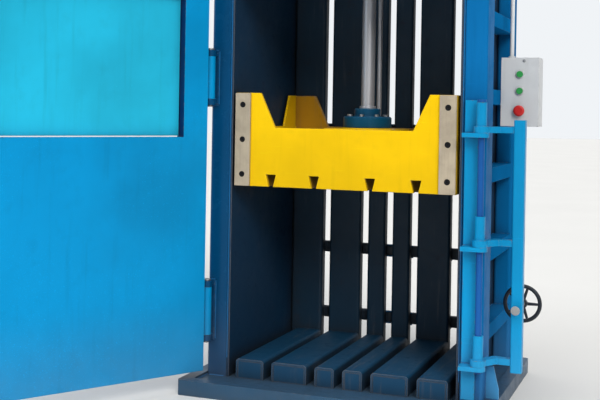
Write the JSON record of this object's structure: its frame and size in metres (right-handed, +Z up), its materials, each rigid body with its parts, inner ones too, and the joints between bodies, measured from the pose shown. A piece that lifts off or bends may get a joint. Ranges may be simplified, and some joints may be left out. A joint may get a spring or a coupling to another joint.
{
  "type": "recycling baler",
  "caption": "Upright hydraulic baler with a slotted chamber, an eared platen on a piston rod, a swing door with a loading hatch and a swing lock.",
  "frame": {"origin": "underside of the base, at the middle of its plan", "axes": "+Z up, -Y towards the operator at the front, +X to the operator's right"},
  "size_m": [2.2852, 2.0587, 3.758],
  "materials": {
    "base_blue": "gloss enamel, scuffed",
    "gusset_blue": "gloss enamel",
    "deck_navy": "worn enamel",
    "wall_navy": "worn enamel",
    "frame_blue": "gloss enamel",
    "dark_steel": "oiled steel",
    "zinc": "zinc plated",
    "motor_grey": "satin enamel",
    "box_grey": "powder coat",
    "green": "moulded",
    "red": "moulded",
    "lock_blue": "gloss enamel",
    "door_blue": "gloss enamel",
    "hatch_cyan": "gloss enamel",
    "wheel_black": "black paint",
    "platen_yellow": "gloss enamel",
    "pad_stone": "worn nylon",
    "flange_blue": "gloss enamel",
    "rod_chrome": "hard chrome"
  },
  "bodies": {
    "frame": {"base_frame": "base_blue", "base_plate": "base_blue", "corner_gusset": "gusset_blue", "floor_bar_1": "deck_navy", "floor_bar_2": "deck_navy", "floor_bar_3": "deck_navy", "floor_bar_4": "deck_navy", "floor_bar_5": "deck_navy", "floor_bar_6": "deck_navy", "left_post": "frame_blue", "right_post": "frame_blue", "left_wall": "wall_navy", "right_wall": "wall_navy", "left_side_frame": "frame_blue", "right_side_frame": "frame_blue", "rear_slat_1": "wall_navy", "rear_slat_2": "wall_navy", "rear_slat_3": "wall_navy", "rear_slat_4": "wall_navy", "rear_slat_5": "wall_navy", "rear_slat_6": "wall_navy", "rear_ribs": "wall_navy", "front_header": "frame_blue", "crown_frame": "frame_blue", "cylinder_barrel": "frame_blue", "cylinder_gland": "dark_steel", "flange_bolts": "zinc", "oil_tank": "frame_blue", "motor": "motor_grey", "pump": "dark_steel", "oil_pipes": "zinc", "control_box": "box_grey", "post_hinges": "frame_blue", "hinge_pins": "zinc", "lock_rail": "lock_blue", "lock_pin": "zinc"},
    "up_button": {"button_up": "green"},
    "down_button": {"button_down": "green"},
    "stop": {"stop_button": "red"},
    "door": {"door_skin": "door_blue", "door_frame": "door_blue"},
    "hatch": {"hatch_panel": "hatch_cyan", "hatch_hinges": "zinc"},
    "latch": {"hatch_latch": "zinc"},
    "lock_frame": {"lock_arm_1": "lock_blue", "lock_arm_2": "lock_blue", "lock_arm_3": "lock_blue", "lock_tie": "lock_blue"},
    "screw": {"clamp_screw": "zinc"},
    "wheel": {"handwheel": "wheel_black"},
    "platen": {"platen_front": "platen_yellow", "platen_rear": "platen_yellow", "platen_box": "platen_yellow", "press_bars": "platen_yellow", "wear_pads": "pad_stone", "wear_screws": "dark_steel", "rod_flange": "flange_blue", "piston_rod": "rod_chrome", "piston": "zinc", "stroke_rod": "rod_chrome"}
  },
  "joints": [
    {"name": "door_hinge", "type": "hinge", "parent": "frame", "child": "door", "pos_m": [-0.66, -0.421, 1], "axis": [0, 0, 1], "range_deg": [-28, 122]},
    {"name": "hatch_hinge", "type": "hinge", "parent": "door", "child": "hatch", "pos_m": [-0.77606, -0.53125, 1.55], "axis": [0, 0, -1], "range_deg": [0, 100]},
    {"name": "hatch_latch_turn", "type": "hinge", "parent": "door", "child": "latch", "pos_m": [-1.31843, -1.4181, 1.5495], "axis": [-0.848, 0.5299, 0], "range_deg": [0, 90]},
    {"name": "platen_slide", "type": "slide", "parent": "frame", "child": "platen", "axis": [0, 0, 1], "range_m": [-0.5, 0.82]},
    {"name": "lock_swing", "type": "hinge", "parent": "frame", "child": "lock_frame", "pos_m": [0.661, -0.432, 0.8], "axis": [0, 0, 1], "range_deg": [-180, 0]},
    {"name": "clamp_travel", "type": "slide", "parent": "lock_frame", "child": "screw", "axis": [0, -1, 0], "range_m": [-0.03, 0.003]},
    {"name": "handwheel_turn", "type": "hinge", "parent": "screw", "child": "wheel", "pos_m": [0.816, -0.207, 0.4945], "axis": [0, -1, 0], "range_deg": [-1830, 190]},
    {"name": "up_press", "type": "slide", "parent": "frame", "child": "up_button", "axis": [0, 1, 0], "range_m": [0, 0.006], "stiffness_N_per_m": 600},
    {"name": "down_press", "type": "slide", "parent": "frame", "child": "down_button", "axis": [0, 1, 0], "range_m": [0, 0.006], "stiffness_N_per_m": 600},
    {"name": "stop_press", "type": "slide", "parent": "frame", "child": "stop", "axis": [0, 1, 0], "range_m": [0, 0.006], "stiffness_N_per_m": 600}
  ],
  "couplings": [
    {"joint": "handwheel_turn", "follows": "clamp_travel", "rad_per_m": 1047.2}
  ]
}
